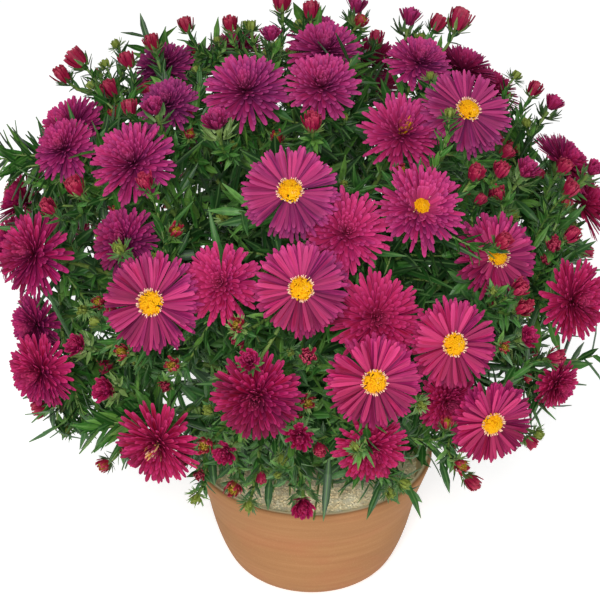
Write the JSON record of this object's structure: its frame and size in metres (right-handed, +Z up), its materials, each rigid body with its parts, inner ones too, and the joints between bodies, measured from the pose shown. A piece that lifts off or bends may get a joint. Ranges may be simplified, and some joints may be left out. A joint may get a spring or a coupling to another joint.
{
  "type": "potted aster",
  "caption": "Compact bushy aster in full bloom with double and open daisy-like magenta flowers, buds and narrow leaves, in a round terracotta bowl.",
  "frame": {"origin": "centre of the pot's flat base, on the surface that the pot stands on", "axes": "+Z up; -Y is the front, towards the viewer of the picture; +X to that viewer's right"},
  "size_m": [0.3143, 0.3274, 0.3173],
  "materials": {
    "pot": "unglazed terracotta, matt",
    "soil": "pale sandy soil, matt",
    "leaf": "dark green leaf, slightly waxy",
    "petal": "magenta petal, soft sheen",
    "disc": "yellow florets, matt"
  },
  "bodies": {
    "root": {"bloom_01": "petal", "bloom_02": "petal", "bloom_03": "petal", "bloom_04": "petal", "bloom_05": "petal", "bloom_06": "petal", "bloom_07": "petal", "bloom_08": "petal", "bloom_09": "petal", "bloom_10": "petal", "bloom_11": "petal", "bloom_12": "petal", "bloom_13": "petal", "bloom_14": "petal", "bloom_15": "petal", "bloom_16": "petal", "bloom_17": "petal", "bloom_18": "petal", "bloom_19": "petal", "bloom_20": "petal", "bloom_21": "petal", "bloom_22": "petal", "bloom_23": "petal", "bloom_24": "petal", "bloom_25": "petal", "bloom_26": "petal", "bloom_27": "petal", "bloom_28": "petal", "bloom_29": "petal", "bloom_30": "petal", "bloom_31": "petal", "bloom_32": "petal", "bloom_33": "petal", "bloom_group_1": "petal", "bloom_group_2": "petal", "bloom_group_3": "petal", "bloom_group_4": "petal", "bloom_group_5": "petal", "bloom_group_6": "petal", "bloom_group_7": "petal", "bloom_group_8": "petal", "disc_08": "disc", "disc_19": "disc", "disc_20": "disc", "disc_22": "disc", "disc_23": "disc", "disc_25": "disc", "disc_26": "disc", "disc_27": "disc", "disc_29": "disc", "leafy_stem_1": "leaf", "leafy_stem_2": "leaf", "leafy_stem_3": "leaf", "leafy_stem_4": "leaf", "leafy_stem_5": "leaf", "leafy_stem_6": "leaf", "leafy_stem_7": "leaf", "pot": "pot", "soil": "soil"}
  },
  "joints": []
}
